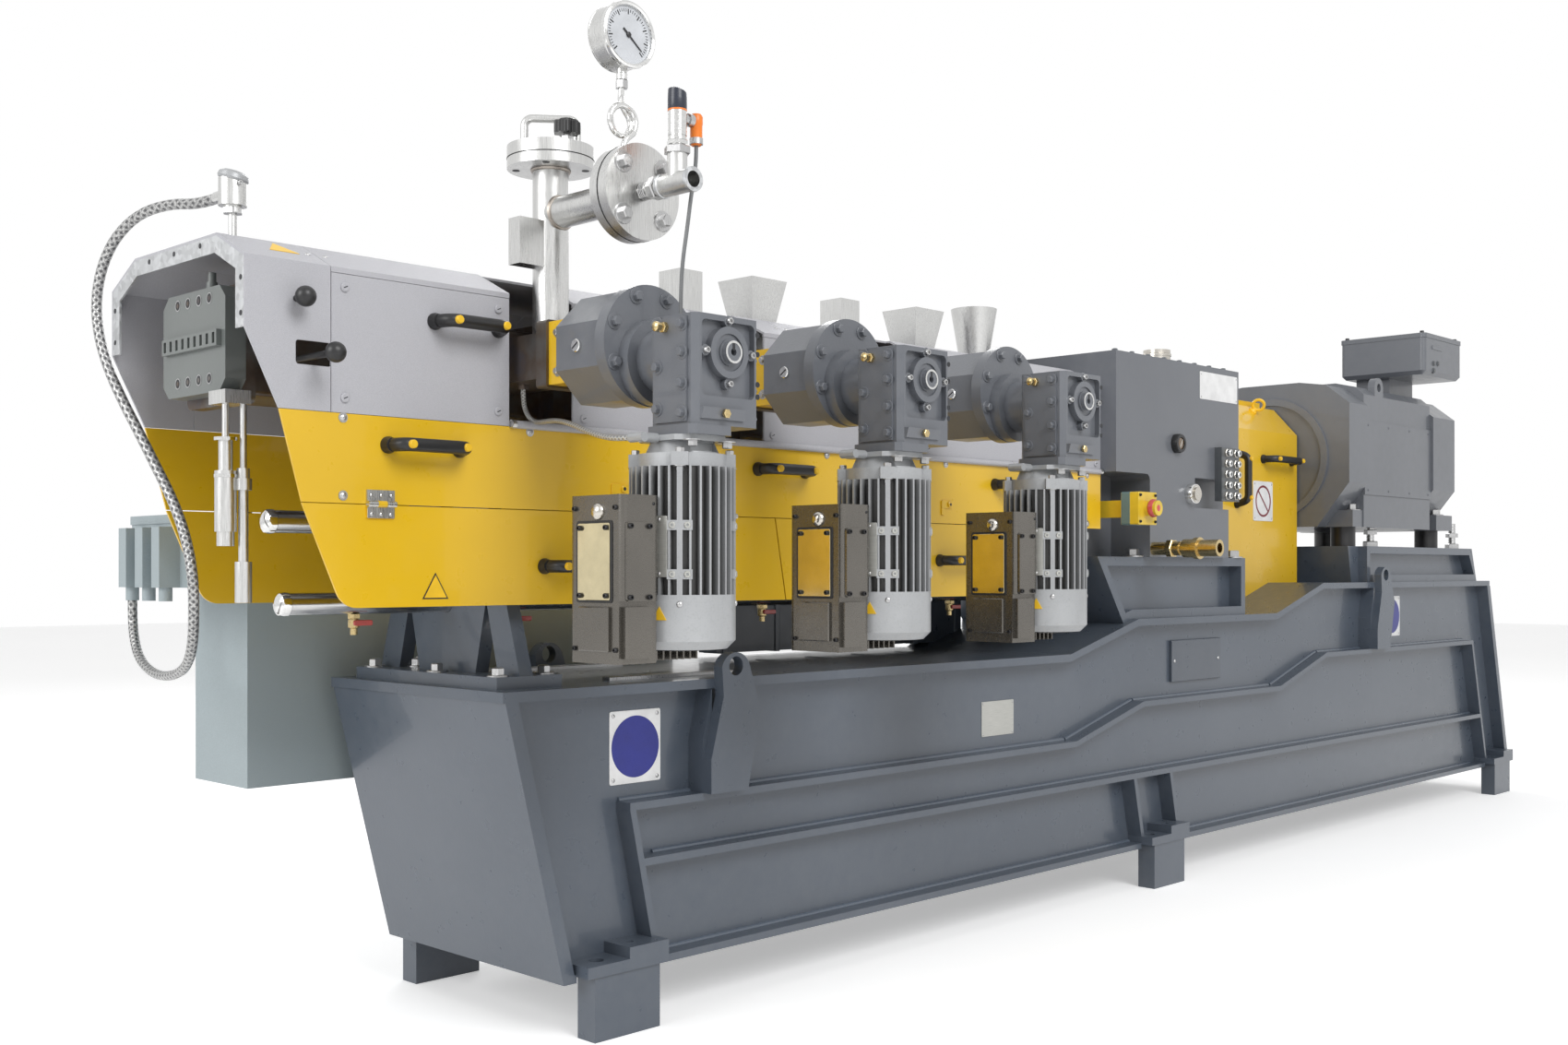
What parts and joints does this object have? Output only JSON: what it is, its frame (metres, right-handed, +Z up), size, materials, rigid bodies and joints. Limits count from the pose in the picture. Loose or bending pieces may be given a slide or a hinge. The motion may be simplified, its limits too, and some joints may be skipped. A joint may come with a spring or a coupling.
{
  "type": "twin-screw plastic extruder with side feeders",
  "caption": "Compounding extruder on a welded base: covered barrels, three side feeders, vent pipe, gear housing and main motor.",
  "frame": {"origin": "centre of the machine's box, at floor level under the feet", "axes": "+X along the screws from the die end to the motor, +Y to the side away from the side feeders, +Z up"},
  "size_m": [4.7135, 1.189, 1.639],
  "materials": {
    "base_blue_grey": "semi-gloss enamel",
    "machine_grey": "semi-gloss enamel",
    "cover_grey": "fine textured powder coat",
    "guard_yellow": "semi-gloss enamel",
    "motor_silver": "cast, painted silver",
    "bright_steel": "turned and brushed",
    "tool_steel": "machined, darkened",
    "handle_black": "fine texture",
    "cabinet_grey": "fine textured powder coat",
    "valve_brass": "machined",
    "button_box": "moulded",
    "hose_braid": "woven steel braid"
  },
  "bodies": {
    "root": {"barrel_line": "tool_steel", "base_deck": "base_blue_grey", "base_end_plates": "base_blue_grey", "cabinet_brackets": "base_blue_grey", "cone_inlet": "bright_steel", "connector_box": "cabinet_grey", "control_cabinet": "cabinet_grey", "cord_hose": "hose_braid", "cord_motor": "hose_braid", "cord_sensor": "hose_braid", "coupling_guard": "guard_yellow", "cover_doors_far": "cover_grey", "cover_doors_near": "cover_grey", "cover_front_hood": "cover_grey", "cover_knobs": "handle_black", "cover_roof": "cover_grey", "cover_roof_rear": "cover_grey", "die_head": "tool_steel", "emergency_stop_box": "button_box", "feeder_barrels": "tool_steel", "feeder_gearboxes": "machine_grey", "feeder_guards": "guard_yellow", "feeder_lanterns": "machine_grey", "feeder_motors": "motor_silver", "flaps_far": "guard_yellow", "foot_blocks": "base_blue_grey", "foot_pads": "base_blue_grey", "front_saddle": "base_blue_grey", "gauge_siphon": "bright_steel", "gearbox_fittings": "bright_steel", "gearbox_housing": "machine_grey", "gearbox_pedestal": "base_blue_grey", "hood_flange": "bright_steel", "inverter_boxes": "motor_silver", "lifting_lugs": "base_blue_grey", "main_motor": "machine_grey", "motor_frame": "base_blue_grey", "motor_mounts": "handle_black", "motor_terminal_box": "machine_grey", "oil_coupling": "valve_brass", "oil_manifold": "machine_grey", "panel_handles": "handle_black", "pressure_gauge": "bright_steel", "roof_inlets": "bright_steel", "side_beam_far": "base_blue_grey", "side_beam_near": "base_blue_grey", "skirt_far": "guard_yellow", "skirt_hinges": "bright_steel", "skirt_near": "guard_yellow", "thermocouple": "bright_steel", "transducers": "bright_steel", "vent_lid": "bright_steel", "vent_sensor": "bright_steel", "vent_stack": "bright_steel", "vent_tee": "bright_steel", "water_pipes": "bright_steel"},
    "flap_front": {"flap_near_front": "guard_yellow", "flap_front_handle": "handle_black"},
    "flap_rear": {"flap_near_rear": "guard_yellow", "flap_rear_handle": "handle_black"}
  },
  "joints": [
    {"name": "flap_front_hinge", "type": "hinge", "parent": "root", "child": "flap_front", "pos_m": [-2.135, -0.1488, 0.868], "axis": [-1, 0, 0], "range_deg": [0, 90]},
    {"name": "flap_rear_hinge", "type": "hinge", "parent": "root", "child": "flap_rear", "pos_m": [-1.075, -0.1488, 0.868], "axis": [-1, 0, 0], "range_deg": [0, 90]}
  ]
}
